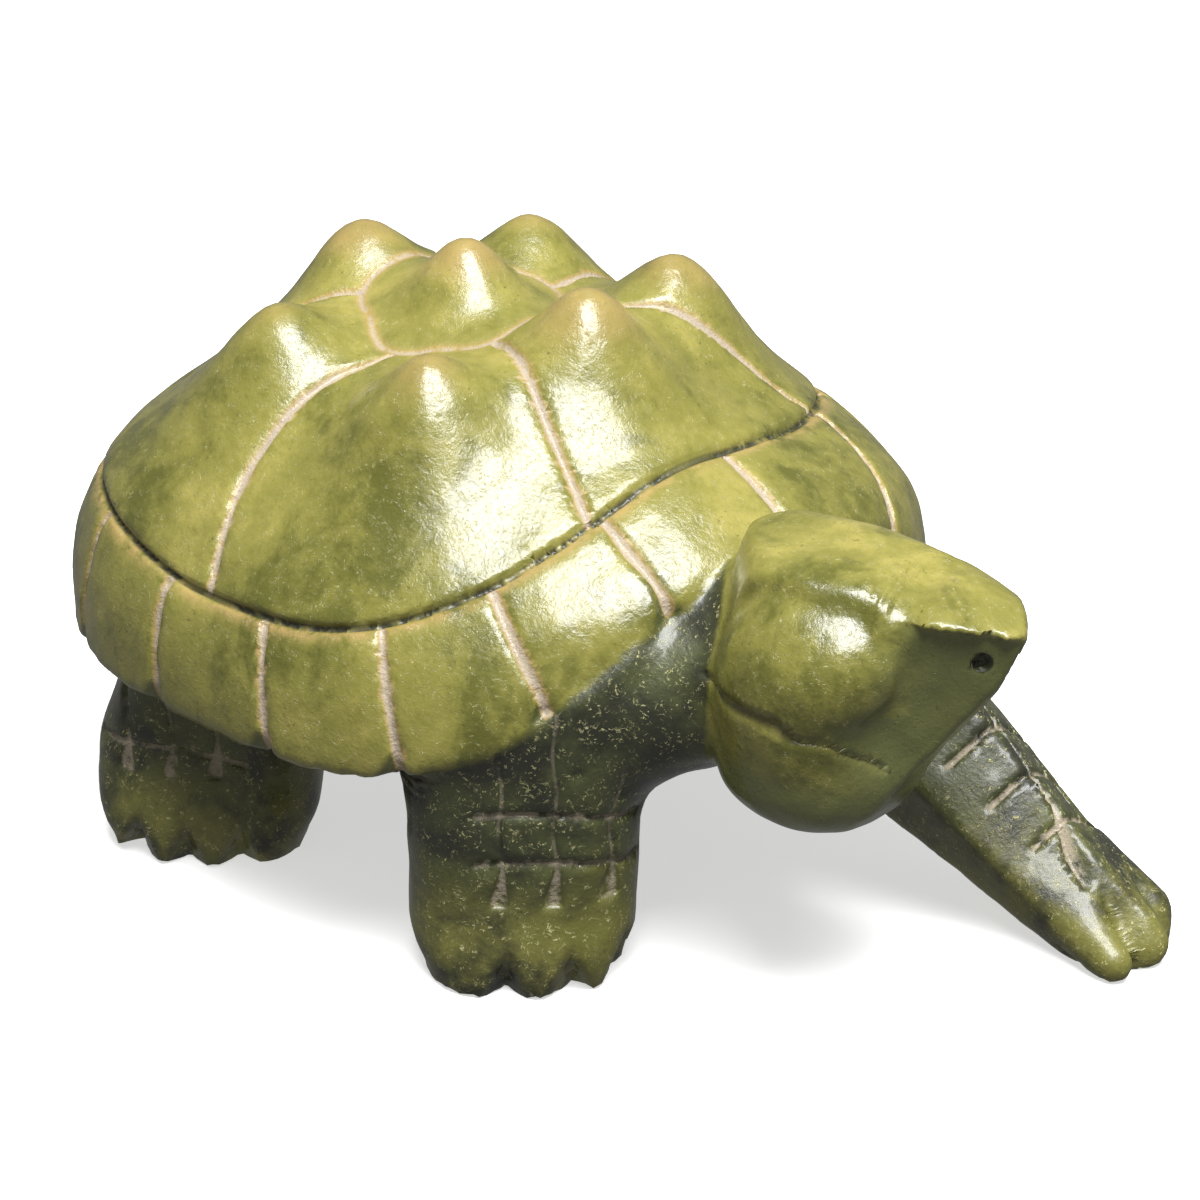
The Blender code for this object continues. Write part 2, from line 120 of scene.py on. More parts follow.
# Belly, neck, shoulders and head
BELLY_HALF = (54.0, 46.0, 17.0)
BELLY_CENTRE = (2.0, 0.0, 40.0)
BELLY_FLAT = 23.5
CORE_CENTRE = (6.0, 0.0, 50.0)
CORE_HALF = (40.0, 40.0, 20.0)
SHOULDER_POINTS = ((30.0, 26.0, 46.0, 14.0), (50.0, 17.0, 50.0, 13.0))
NECK_POINTS = ((36.0, 0.0, 46.0, 20.0), (60.0, -1.0, 49.0, 18.0), (84.0, 4.0, 56.0, 14.0))
HEAD_CENTRE = (93.2, -3.3, 70.6)
HEAD_TURN = -82.0
HEAD_ROLL = 6.0
# The head's own places are ahead, left and up from HEAD_CENTRE. A lump is its middle and half sizes.
CHEEK_FACING = (0.81, 0.587, -0.03)
CHEEK_AWAY = 13.6
SKULL = ((-4.0, 0.0, -17.0), (17.5, 30.0, 24.0))
JAW = ((4.0, -5.5, -27.4), (16.5, 15.0, 13.4))
FOREHEAD = ((5.0, 0.0, -17.0), (17.0, 16.0, 17.0))
FOREHEAD_MIDDLE = -4.5
EYE = (4.2, 19.3, -5.7)
EYE_DEPTH = 3.0
BROW_LINES = (2.0, 3.1, 4.3, 5.6)
BROW_OVERHANG = 1.7
CROWN_HEIGHT, NAPE_HEIGHT = 3.2, 2.4
HEAD_LEFT, HEAD_RIGHT = 24.2, 25.5
SNOUT_FACING, SNOUT_AWAY = (0.612, -0.786), 19.3
VALLEY_DEPTH, CREASE_DEPTH, BROW_LINE_DEPTH, MOUTH_DEPTH = 1.4, 0.9, 0.22, 2.0
MOUTH_ACROSS = (-18.0, -12.0, -6.2, -2.2, 0.9, 4.0, 6.0, 9.4)
MOUTH_HEIGHTS = (-18.5, -17.1, -16.5, -17.1, -18.7, -19.3, -21.4, -24.4)
BROW_VALLEY = ((10.5, 8.4, 0.4), (3.0, 6.7, 2.3), (-4.0, 6.2, 2.9))
FOREHEAD_CREASE = ((10.0, 9.5, 0.0), (10.5, 10.6, -2.5), (9.8, 11.2, -7.7), (10.2, 10.4, -13.5),
                   (13.2, 7.7, -16.4))

# Legs: middle of the foot, direction of the toes, half width, half depth, narrowing towards the top
LEG_TOP = 44.0
COLUMN_LEGS = (
    (45.5, -31.5, -45.0, 17.5, 14.5, 0.0),
    (-18.5, -40.5, -48.0, 18.0, 13.5, 0.3),
    (-30.0, 42.0, 112.0, 17.0, 14.0, 0.2),
)
SHOULDER_FILL = ((40.0, -26.0, 40.0, 14.0), (60.0, -19.0, 44.0, 11.0), (78.0, -8.0, 53.0, 10.0))
LEG_LINES = ((-2.9, 5.2, 13.4), (-11.5, -4.0, 3.0), (-6.0, 1.0, 8.0))
LEG_LEVELS = ((31.0, 23.0), (20.5,), (28.0, 21.0))
LEG_NOTCHES = ((-2.4, 7.4, 15.6), (-10.4, -2.4, 6.0), (-6.0, 2.5, 10.0))
LEG_LINE_END = 15.0
LEG_POWER = 2.6
FOOT_ROUNDING, FOOT_DRAW_IN = 5.0, 0.14
LEG_CUT_DEPTH = 0.8
LIMB_BLEND, NECK_BLEND = 7.0, 8.0
CREVICE_DEPTH = 0.7
NOTCH_HEIGHT = 9.5
STRETCHED_HIP = (54.0, 27.0, 34.0)
STRETCHED_FOOT = (108.5, 35.0, 1.5)
STRETCHED_HALF_WIDTHS = (15.0, 11.0)
STRETCHED_HALF_DEPTHS = (15.0, 7.0)
STRETCHED_ROLL = -30.0
STRETCHED_POWER = 2.8
STRETCHED_LINES = ((-4.0, 58.0), (3.5, 52.0))       # across the leg, and where the cut ends along it
STRETCHED_LEVELS = (28.5, 37.5, 46.5)
STRETCHED_NOTCHES = (-7.6, -0.5)
STRETCHED_TOES = (((100.0, 29.5, 7.5, 5.5), (114.6, 26.6, 2.6, 2.8)),
                  ((101.0, 35.0, 7.5, 5.5), (115.2, 33.6, 2.8, 3.0)),
                  ((98.0, 39.0, 8.0, 5.0), (109.5, 41.5, 4.4, 3.2)))

# Small pits in the polish: place and radius
PITS = ((-38.0, -45.0, 58.0, 0.9), (-16.0, -49.0, 60.0, 0.7), (61.5, -35.5, 37.5, 1.2))

# Box that the net is laid in, and the longest edge on smooth parts and its cut on the head, for split_long
NET_LOW, NET_HIGH = (-66.0, -68.0, -4.0), (131.0, 68.0, 104.0)
SMOOTH_STEPS = 1.7
HEAD_FINER = 0.9
FILLED = -0.2

# Stone: the patterns' scale per metre, detail, roughness and distortion, and the polish
CLOUDS, PATCHES = (38.0, 4.0, 0.58, 0.4), (105.0, 5.0, 0.62, 0.6)
GRAIN, DUST, THREADS = (420.0, 4.0, 0.65), (1400.0, 3.0, 0.60), (620.0, 3.0, 0.55, 1.2)
SPOTS = (75.0, 4.0, 0.6, 0.4)
STONE_IOR, COAT, COAT_ROUGHNESS = 1.58, 0.3, 0.10
BUMP_STRENGTH, BUMP_DEPTH = 0.75, 0.0004

# Stage, in metres: half the floor and its points along a side, what the light and the camera aim at, and
# how far the middle of the view lies to the right of and below the camera's aim
FLOOR_HALF, FLOOR_POINTS = 3.0, 13
LIGHT_AIM = (0.03, 0.0, 0.05)
CAMERA_AIM = (0.0, 0.0, 0.080)
VIEW_RIGHT, VIEW_DOWN = 0.02095, 0.04214
SENSOR_WIDTH = 36.0


def length(name, description, metres):
    return FloatProperty(name=name, description=description, default=metres, unit="LENGTH")


def amount(name, description, default):
    return FloatProperty(name=name, description=description, default=default)


def colour(name, description, red, green, blue):
    return FloatVectorProperty(name=name, description=description, size=4, subtype="COLOR",
                               default=(red, green, blue, 1.0))


class CarvingSizes(bpy.types.PropertyGroup):
    dome_top: length("Dome height", "Top of the shell between its knobs, above the ground", 0.0785)
    groove_width: length("Groove width", "Width of the burr that cut the shell's grooves", 0.0014)
    groove_depth: length("Groove depth", "Depth of the grooves in the shell", 0.0008)
    crack_depth: length("Rim crack depth", "Depth of the dark line between dome and rim", 0.0016)
    eye_radius: length("Eye radius", "Radius of the drill that made the eyes", 0.0016)
    notch_depth: length("Toe notch depth", "Depth of the cuts between the toes", 0.0040)
    unevenness: length("Unevenness", "How far the hand-rubbed surface strays from true", 0.00022)
    coarsest: length("Mesh size", "Length of the mesh edges on smooth parts", 0.0013)
    finest: length("Finest mesh size", "Length of the mesh edges along the cuts", 0.00046)


class StoneColours(bpy.types.PropertyGroup):
    olive: colour("Olive", "Main colour of the shell", 0.240, 0.225, 0.046)
    yellow: colour("Yellow", "Pale clouds in the stone", 0.370, 0.325, 0.080)
    shade: colour("Shade", "Dark clouds in the stone", 0.110, 0.112, 0.018)
    moss: colour("Moss", "Polished green of the legs' sides and under the rim", 0.066, 0.076, 0.024)
    # Deep green is also painted shade: in the cuts under the rim, where the shell meets the body, and in the
    # eye hole.
    deep: colour("Deep green", "Darkest stone on the legs and neck", 0.022, 0.024, 0.012)
    # Ochre also paints the highlight on the lower lip's bevel.
    ochre: colour("Ochre", "Worn tips and edges", 0.46, 0.31, 0.12)
    powder: colour("Powder", "Pale stone dust in the cuts", 0.43, 0.36, 0.27)
    fleck: colour("Fleck", "Fine pale flecks", 0.60, 0.56, 0.26)
    # The cheek colour is partly the greyer stone of the cheek and chin and partly painted shade on the lower
    # head.
    cheek: colour("Cheek", "Greyer green of the flat cheek and the chin", 0.140, 0.158, 0.055)
    gloss: FloatProperty(name="Roughness", description="Roughness of the polished stone", default=0.29,
                         subtype="FACTOR")


class StageSettings(bpy.types.PropertyGroup):
    floor: colour("Floor", "Colour of the floor and backdrop", 0.90, 0.90, 0.90)
    floor_glow: amount("Floor glow", "Light that the floor gives off by itself", 0.64)
    sky: amount("Sky", "Strength of the even light from all round", 0.22)
    light_side: amount("Light azimuth", "Turn of the soft light, in degrees", -25.0)
    light_rise: amount("Light elevation", "Rise of the soft light, in degrees", 72.0)
    light_away: length("Light distance", "Distance of the soft light", 1.5)
    light_size: length("Light size", "Side of the square soft light", 0.90)
    light_power: FloatProperty(name="Light power", description="Power of the soft light", default=46.0,
                               unit="POWER")
    camera_side: amount("Camera azimuth", "Turn of the camera, in degrees", 45.7)
    camera_rise: amount("Camera elevation", "Rise of the camera, in degrees", 25.7)
    camera_away: length("Camera distance", "Distance from the middle knob", 0.6326)
    lens: amount("Lens", "Focal length in millimetres", 120.12)


def smooth_min(a, b, width):
    """The lower of two fields, rounded where they are within the width of each other."""
    mix = np.clip(0.5 + 0.5 * (b - a) / width, 0.0, 1.0)
    return b + (a - b) * mix - width * mix * (1.0 - mix)


def smooth_max(a, b, width):
    """The higher of two fields, rounded the same way."""
    return -smooth_min(-a, -b, width)


def fade(low, high, value):
    """0 below low, 1 above high, an S curve between."""
    t = np.clip((value - low) / (high - low), 0.0, 1.0)
    return t * t * (3.0 - 2.0 * t)


def cut(away, width):
    """A rounded groove: a bell curve of the distance from its middle line over half the width."""
    return np.exp(-(2.0 * away / width) ** 2)


def burr(away, width):
    """A flat-bottomed groove: like the rounded one, with the fourth power for steep sides."""
    return np.exp(-(2.0 * away / width) ** 4)


def turned(angle):
    """An angle brought to within half a turn of zero."""
    return (angle + np.pi) % (2.0 * np.pi) - np.pi


def blob(x, y, z, centre, half, power=2.0):
    """Rounded lump: the sum of each distance over its half size, to a power, less one."""
    a = (np.abs(x - centre[0]) / half[0]) ** power
    b = (np.abs(y - centre[1]) / half[1]) ** power
    c = (np.abs(z - centre[2]) / half[2]) ** power
    return ((a + b + c) ** (1.0 / power) - 1.0) * min(half)


def chain(x, y, z, points, blend):
    """A round limb: distance to a line through points, less a radius that runs from one to the next."""
    field = None
    for a, b in zip(points[:-1], points[1:]):
        run = np.subtract(b[:3], a[:3])
        t = ((x - a[0]) * run[0] + (y - a[1]) * run[1] + (z - a[2]) * run[2]) / (run @ run)
        t = np.clip(t, 0.0, 1.0)
        away = np.sqrt((x - a[0] - t * run[0]) ** 2 + (y - a[1] - t * run[1]) ** 2
                       + (z - a[2] - t * run[2]) ** 2) - (a[3] + t * (b[3] - a[3]))
        field = away if field is None else smooth_min(field, away, blend)
    return field


def waver(x, y, z, wave):
    """Slow unevenness of handwork: three sines crossed with each other, one wave every few millimetres."""
    k = 2.0 * np.pi / wave
    return (np.sin(k * (x + 0.31 * z) + 1.7 * np.sin(0.6 * k * y))
            + np.sin(k * (y - 0.27 * x) + 1.9 * np.sin(0.7 * k * z))
            + np.sin(k * (z + 0.23 * y) + 1.5 * np.sin(0.5 * k * x))) / 3.0


def placed(x, y, z, origin, axes):
    """A place told along three axes from an origin: the sum of each distance times the axis's share."""
    rel = (x - origin[0], y - origin[1], z - origin[2])
    return tuple(rel[0] * a[0] + rel[1] * a[1] + rel[2] * a[2] for a in axes)


def around_shell(x, y):
    """Distance from the middle of the rim, and angle from straight ahead."""
    return np.hypot(x - SHELL_X, y), np.arctan2(y, x - SHELL_X)


class Carving:
    """The turtle's field, cuts and masks, for one set of sizes."""

    def __init__(self, sizes):
        """Every size of the panel, in millimetres."""
        for name in sizes.__annotations__:
            setattr(self, name, getattr(sizes, name) / MM)

    def arch(self, angle, width, power):
        """1 straight ahead, falling to 0 at the sides."""
        return np.exp(-(np.abs(angle) / np.radians(width)) ** power)

    def rim_radius(self, angle):
        """Plan of the rim: the even oval, swelled at its front left by a bell curve of the angle."""
        extra, middle, spread = FAR_FULLNESS
        swell = np.exp(-((angle - np.radians(middle)) / np.radians(spread)) ** 2)
        return self.even_rim(angle) + extra * swell

    def even_rim(self, angle):
        """An oval squared a little by its power."""
        c = np.abs(np.cos(angle)) / RIM_HALF_LENGTH
        s = np.abs(np.sin(angle)) / RIM_HALF_WIDTH
        return (c ** RIM_SQUARENESS + s ** RIM_SQUARENESS) ** (-1.0 / RIM_SQUARENESS)

    def rim_height(self, angle):
        """The rim's lower edge: level along the sides, lifted in an arch over the neck."""
        over_neck = self.arch(angle, NECK_ARCH_ANGLE, 2.5)
        return RIM_HEIGHT + RIM_TILT * np.cos(angle) + NECK_ARCH_RISE * over_neck

    def band_radius(self, angle):
        """Plan of the crack: the even oval less the band, which widens over the neck."""
        wide = np.radians(np.where(angle > 0.0, BAND_FLARE_LEFT, BAND_FLARE_RIGHT))
        return self.even_rim(angle) - BAND_WIDTH - BAND_FLARE * np.exp(-(np.abs(angle) / wide) ** 3.2)

    def knob_rise(self, x, y):
        """Seven round-tipped cones: each falls off as the exponent of the distance from its tip."""
        rise = 0.0
        for ahead, left, height, spread in KNOBS:
            away = np.sqrt((x - ahead) ** 2 + (y - left) ** 2 + KNOB_TIP_RADIUS ** 2) - KNOB_TIP_RADIUS
            rise = rise + height * np.exp(-away / spread)
        return rise

    def fullness(self, angle):
        """The dome's power: lower over the neck, higher towards the shoulders that it fades in at."""
        even = SIDE_FULLNESS + (FRONT_FULLNESS - SIDE_FULLNESS) * self.arch(angle, FLARE_ANGLE, 2.0)
        extra, middle, start, end = SHOULDER_FULLNESS
        away = np.abs(np.degrees(np.angle(np.exp(1j * (angle - np.radians(middle))))))
        return even + extra * fade(start, end, away)

    def below_crack(self, r, angle, z):
        """Distance down the dome's slope from the crack, and from the crack to the rim's edge.

        The crack's height is the dome's own at its radius. The distance is the step out times the cosine of
        the slope there, plus the step down times its sine."""
        inner, rim, low = self.band_radius(angle), self.rim_radius(angle), self.rim_height(angle)
        height, power, share = self.dome_top - low, self.fullness(angle), inner / rim
        left = 1.0 - share ** 2
        crack_z = low + height * left ** (1.0 / power)
        steep = np.arctan(height / power * left ** (1.0 / power - 1.0) * 2.0 * share / rim)
        below = (r - inner) * np.cos(steep) + (crack_z - z) * np.sin(steep)
        return below, (rim - inner) * np.cos(steep) + (crack_z - low) * np.sin(steep)

    def shell_lines(self, x, y, z):
        """The shell's cuts as shares of their depth: ring and spokes, the hollow round the ring, plates,
        crack, worn edge and chamfers."""
        r, angle = around_shell(x, y)
        stray = 0.3 * waver(x, y, z, 23.0)
        ring = np.hypot(x, y) + 0.6 * stray
        around = np.arctan2(y, x)
        ring_line = RING_RADIUS - RING_CORNERS * np.cos(6.0 * around)
        hollow = cut(ring - ring_line, RING_HOLLOW)
        width = self.groove_width * (1.0 + 0.25 * waver(x, y, z, 9.0))
        lines = burr(ring - ring_line, 0.9 * width) * 0.75
        below, length = self.below_crack(r, angle, z)
        on_dome = fade(-0.5, 0.5, ring - ring_line) * fade(0.4, -0.4, below)
        run = np.clip((ring - RING_RADIUS) / SPOKE_LENGTH, 0.0, 1.0)
        for start, end, bow in np.radians(SPOKES):
            side = turned(around - start - (end - start) * run - bow * np.sin(np.pi * run))
            away = np.where(np.abs(side) < 1.0, ring * np.sin(side) + stray, 99.0)
            lines = np.maximum(lines, burr(away, width) * on_dome)
        below = below + 0.5 * stray
        crack = np.exp(-(below / CRACK_HALF_WIDTH) ** 2)
        ledge = fade(3.0, 0.8, below) * fade(-0.2, 0.3, below)
        on_band = fade(0.0, 0.8, below)
        share = np.clip(below / length, 0.0, 1.0)
        over_edge = z - self.rim_height(angle)
        plates, chamfer = 0.0, 0.0
        for start, end in np.radians(RIM_CUTS):
            away = turned(angle - start - (end - start) * share) * r + stray
            plates = np.maximum(plates, burr(away, 1.1 * width) * on_band)
            facet = np.clip(1.0 - (over_edge - 1.0) / 3.6 - np.abs(away + 1.2) / 3.2, 0.0, 1.0)
            chamfer = np.maximum(chamfer, facet * fade(0.3, 0.6, share))
        return lines, hollow, plates, crack, ledge, chamfer

    def shell(self, x, y, z, fine):
        """A dome: on its surface the plan share squared plus the height share to a power is one."""
        r, angle = around_shell(x, y)
        radius = self.rim_radius(angle)
        low = self.rim_height(angle)
        height = self.dome_top - low
        power = self.fullness(angle)
        share = r / radius
        lift = np.maximum((z - self.knob_rise(x, y) - low) / height, 0.0)
        steep = np.hypot(2.0 * share / radius, power * lift ** (power - 1.0) / height)
        top = (share ** 2 + lift ** power - 1.0) / np.maximum(steep, 0.02)
        if fine:
            lines, hollow, plates, crack, ledge, chamfer = self.shell_lines(x, y, z)
            depth = np.maximum(np.maximum(lines, plates) * self.groove_depth, 0.45 * hollow)
            depth = np.maximum(depth, crack * self.crack_depth) + 0.35 * ledge * (1.0 - crack)
            top = top + depth + 1.1 * chamfer
        under = (low + UNDERCUT * (1.0 - share) - z) * 0.85
        if fine:
            under = under + 0.5 * cut(share * radius - radius + 2.4, 1.0)
        return smooth_max(top, under, 1.6)

    def leg_place(self, x, y, which):
        """A place told from the middle of a leg's foot: out towards the toes, and across."""
        ahead, left, toes = COLUMN_LEGS[which][:3]
        c, s = np.cos(np.radians(toes)), np.sin(np.radians(toes))
        return (x - ahead) * c + (y - left) * s, -(x - ahead) * s + (y - left) * c

    def column_leg(self, x, y, z, which, fine):
        """An upright leg: a squared oval in plan, drawn in at the foot, with toe cuts and a grid."""
        half_width, half_depth, narrowing = COLUMN_LEGS[which][3:]
        out, across = self.leg_place(x, y, which)
        foot = np.exp(-(z / FOOT_ROUNDING) ** 2)
        width = half_width * (1.0 - FOOT_DRAW_IN * foot - narrowing * fade(14.0, 34.0, z))
        out = out - 2.0 * fade(16.0, 2.0, z)
        depth = half_depth * (1.0 - 0.04 * foot)
        field = (np.abs(across) / width) ** LEG_POWER + (np.abs(out) / depth) ** LEG_POWER
        field = field ** (1 / LEG_POWER) - 1.0
        field = field * half_depth
        facing = fade(1.0, 4.0, out)
        field = field + self.toe_notches(across, z, LEG_NOTCHES[which]) * facing
        if fine:
            field = field + self.leg_grid(across, z, which) * facing * LEG_CUT_DEPTH
        top = LEG_TOP
        if which == 0:
            top = np.maximum(top, self.rim_height(around_shell(x, y)[1]) + 2.0)
        return smooth_max(field, z - top, 3.0)

    def leg_grid(self, across, z, which):
        """Level and upright cuts on a leg's front. The upright ones widen to a wedge at their lower ends."""
        groove = 0.0
        for place in LEG_LINES[which]:
            bend = place + 0.012 * np.maximum(z - 24.0, 0.0) ** 2 * fade(8.0, 14.0, place)
            wide = 0.95 + 1.9 * fade(22.5, 15.5, z)
            groove = np.maximum(groove, burr(across - bend + 0.3 * np.sin(0.5 * z), wide)
                                * fade(0.0, 0.5, z - LEG_LINE_END) * (0.6 + 0.4 * fade(24.0, 17.0, z)))
        middle = LEG_LINES[which][1]
        for place in LEG_LEVELS[which]:
            level = z - place + 0.012 * (across - middle + 4.0) ** 2
            groove = np.maximum(groove, burr(level, 1.05) * fade(13.0, 11.5, np.abs(across - middle)))
        return groove

    def toe_notches(self, across, z, notches):
        """Cuts between the toes: wedges that open and deepen downwards."""
        depth = 0.0
        for notch in notches:
            wide = 0.8 + 3.4 * fade(NOTCH_HEIGHT, -2.0, z)
            depth = np.maximum(depth, np.clip(1.0 - np.abs(across - notch) / wide, 0.0, 1.0))
        return self.notch_depth * depth * fade(NOTCH_HEIGHT, 2.0, z)

    def stretched_axes(self):
        """Along the leg, across it and out of its upper face, rolled about its length."""
        hip, foot = np.array(STRETCHED_HIP), np.array(STRETCHED_FOOT)
        along = (foot - hip) / np.linalg.norm(foot - hip)
        side = np.cross((0.0, 0.0, 1.0), along)
        side /= np.linalg.norm(side)
        top = np.cross(along, side)
        roll = np.radians(STRETCHED_ROLL)
        return along, np.cos(roll) * side + np.sin(roll) * top, np.cos(roll) * top - np.sin(roll) * side

    def stretched_place(self, x, y, z):
        return placed(x, y, z, STRETCHED_HIP, self.stretched_axes())

    def stretched_leg(self, x, y, z, fine):
        """A flattened limb to a foot set down far ahead: a squared oval that narrows along its run."""
        u, v, w = self.stretched_place(x, y, z)
        length = np.linalg.norm(np.subtract(STRETCHED_FOOT, STRETCHED_HIP))
        share = np.clip(u / length, 0.0, 1.0)
        width = STRETCHED_HALF_WIDTHS[0] + (STRETCHED_HALF_WIDTHS[1] - STRETCHED_HALF_WIDTHS[0]) * share
        depth = STRETCHED_HALF_DEPTHS[0] + (STRETCHED_HALF_DEPTHS[1] - STRETCHED_HALF_DEPTHS[0]) * share
        past = np.maximum(u - length, 0.0) / 7.0
        before = np.maximum(-u, 0.0) / 14.0
        field = (np.abs(v) / width) ** STRETCHED_POWER + (np.abs(w) / depth) ** STRETCHED_POWER
        field = field + past ** 2.5 + before ** 2.5
        field = (field ** (1 / STRETCHED_POWER) - 1.0) * depth
        field = smooth_max(field, 0.64 * (-v - width * 0.93) - 0.77 * (w + 3.6), 0.6)
        field = smooth_max(field, 0.94 * (-v - width * 0.93) + 0.34 * (w + 3.6), 0.6)
        for toe in STRETCHED_TOES:
            field = smooth_min(field, chain(x, y, z, toe, 1.0), 3.0)
        if fine:
            field = field + LEG_CUT_DEPTH * self.stretched_grid(u, v) * fade(1.0, 3.0, w)
            for toe in STRETCHED_NOTCHES:
                wide = 0.8 + 2.0 * fade(58.0, 70.0, u)
                notch = np.clip(1.0 - np.abs(v - toe) / wide, 0.0, 1.0) * fade(57.0, 63.0, u)
                field = field + 1.5 * notch
        return field

    def stretched_grid(self, u, v):
        """Cuts along the stretched leg and across it, in the leg's own places."""
        groove = 0.0
        for place, far in STRETCHED_LINES:
            line = v - place + 0.16 * (u - 30.0)
            groove = np.maximum(groove, burr(line, 1.1) * fade(20.0, 22.0, u) * fade(far, far - 3.0, u))
        for place in STRETCHED_LEVELS:
            line = u - place - 0.012 * (v + 11.0) ** 2
            groove = np.maximum(groove, burr(line, 1.1) * fade(-11.5, -10.0, v))
        return groove

    def head_axes(self):
        """Ahead, left and up on the head, which is turned to the right and rolled."""
        yaw, roll = np.radians(HEAD_TURN), np.radians(HEAD_ROLL)
        front = np.array((np.cos(yaw), np.sin(yaw), 0.0))
        left = np.array((-np.sin(yaw), np.cos(yaw), 0.0))
        up = np.array((0.0, 0.0, 1.0))
        return front, np.cos(roll) * left - np.sin(roll) * up, np.cos(roll) * up + np.sin(roll) * left

    def head_place(self, x, y, z):
        return placed(x, y, z, HEAD_CENTRE, self.head_axes())

    def head(self, x, y, z, fine):
        """Brows over a flat left cheek, a forehead that swells out and narrows to the mouth, and a jaw."""
        f, l, h = self.head_place(x, y, z)
        low = np.minimum(h, 0.0)
        behind = 0.779 * np.minimum(f, 0.0)
        edge = 0.6 - 0.006 * (l - 12.0) ** 2
        ledge = BROW_OVERHANG * fade(-0.7, 0.3, h - edge + 1.0) * fade(7.0, 11.0, l)
        cheek = CHEEK_FACING[0] * f + CHEEK_FACING[1] * l + CHEEK_FACING[2] * h - CHEEK_AWAY - ledge
        boxy = 2.8 + 2.4 * fade(-17.0, -5.0, h) * fade(4.0, -10.0, l)
        skull = blob(f, l, h, *SKULL, boxy)
        # Crown, nape, left side, right side and the right of the snout, each cut off the lump
        skull = smooth_max(skull, (h - CROWN_HEIGHT + 0.006 * l ** 2 + 0.006 * (f + 7.0) ** 2) * 0.95, 1.5)
        skull = smooth_max(skull, 0.75 * (h - NAPE_HEIGHT + 0.008 * l ** 2) - 0.66 * (f + 8.0), 2.5)
        skull = smooth_max(skull, (l - HEAD_LEFT - 0.33 * low + 0.0064 * low ** 2 - behind) * 0.75, 1.5)
        skull = smooth_max(skull, (-l - HEAD_RIGHT + 0.0045 * low ** 2 - behind) * 0.75, 1.2)
        snout = SNOUT_FACING[0] * f + SNOUT_FACING[1] * l - SNOUT_AWAY
        skull = smooth_max(skull, snout - 3.5 * (1.0 - np.exp(low / 6.0)), 1.2)
        skull = smooth_max(skull, cheek, 0.6)
        jaw = blob(f, l, h, *JAW, 2.2)
        swell = np.where(l > FOREHEAD_MIDDLE, np.clip(18.0 + 0.4 * (h + 5.0), 12.5, 18.0), 16.5)
        forehead = blob(f, (l - FOREHEAD_MIDDLE) * FOREHEAD[1][1] / swell, h, *FOREHEAD, 2.2)
        field = smooth_min(skull, forehead, 1.2)
        field = smooth_min(field, jaw, 3.0)
        if fine:
            field = field + self.mouth_cut(f, l, h)
            valley = chain(f, l, h, tuple(p + (0.0,) for p in BROW_VALLEY), 0.5)
            field = field + VALLEY_DEPTH * cut(valley, 5.0)
            behind_valley = fade(1.0, -1.0, l - 7.0 - 0.1 * f) * fade(12.0, 8.0, f)
            for line in BROW_LINES:
                field = field + BROW_LINE_DEPTH * cut(valley - line, 0.8) * behind_valley
            crease = chain(f, l, h, tuple(p + (0.0,) for p in FOREHEAD_CREASE), 0.5)
            field = field + CREASE_DEPTH * cut(crease, 3.0)
            field = smooth_max(field, -self.eye_hole(f, l, h), 0.3)
        return field

    def mouth_cut(self, f, l, h):
        """The slit between the lips: sheer above, and sloping out below into a bevel on the lower lip."""
        under = np.interp(l, MOUTH_ACROSS, MOUTH_HEIGHTS) - h
        bevel = 1.0 + 1.6 * fade(-16.0, -13.0, l) * fade(1.5, -1.0, l)
        slit = np.clip(1.0 - under / bevel, 0.0, 1.0) * fade(-0.35, 0.0, under)
        return MOUTH_DEPTH * slit * fade(6.0, 9.0, f) * fade(10.0, 9.2, l)

    def cheek_side(self, f, l, h):
        """Above zero on the flat left cheek and the chin, below zero on the forehead and the brows."""
        return np.where(h > -16.0, np.minimum(l - 10.0, -1.4 - h), np.maximum(l - 7.0, -28.0 - h))

    def eye_hole(self, f, l, h):
        """A drilled hole square to the cheek: the distance from its axis less the radius, ended below."""
        ahead, left, above = f - EYE[0], l - EYE[1], h - EYE[2]
        a, b, c = CHEEK_FACING
        deep = a * ahead + b * left + c * above
        away = np.sqrt((ahead - a * deep) ** 2 + (left - b * deep) ** 2 + (above - c * deep) ** 2)
        return np.maximum(away - self.eye_radius, -EYE_DEPTH - deep)

    def trunk(self, x, y, z, fine):
        """Belly, core, neck, shoulders and legs, run into one another."""
        field = smooth_max(blob(x, y, z, BELLY_CENTRE, BELLY_HALF, 2.4), BELLY_FLAT - z, 3.0)
        field = smooth_min(field, blob(x, y, z, CORE_CENTRE, CORE_HALF), 4.0)
        field = smooth_min(field, chain(x, y, z, NECK_POINTS, 6.0), NECK_BLEND)
        field = smooth_min(field, chain(x, np.abs(y), z, SHOULDER_POINTS, 4.0), NECK_BLEND)
        field = smooth_min(field, chain(x, y, z, SHOULDER_FILL, 4.0), 6.0)
        for which in range(len(COLUMN_LEGS)):
            field = smooth_min(field, self.column_leg(x, y, z, which, fine), LIMB_BLEND)
        field = smooth_min(field, self.stretched_leg(x, y, z, fine), LIMB_BLEND)
        r, angle = around_shell(x, y)
        under_rim = np.minimum(z - self.rim_height(angle) - 1.5, self.rim_radius(angle) + 12.0 - r)
        field = smooth_max(field, np.minimum(under_rim, r - self.rim_radius(angle) + 6.0), 1.0)
        if fine:
            field = field + CREVICE_DEPTH * self.crevices(x, y, z)
        return field

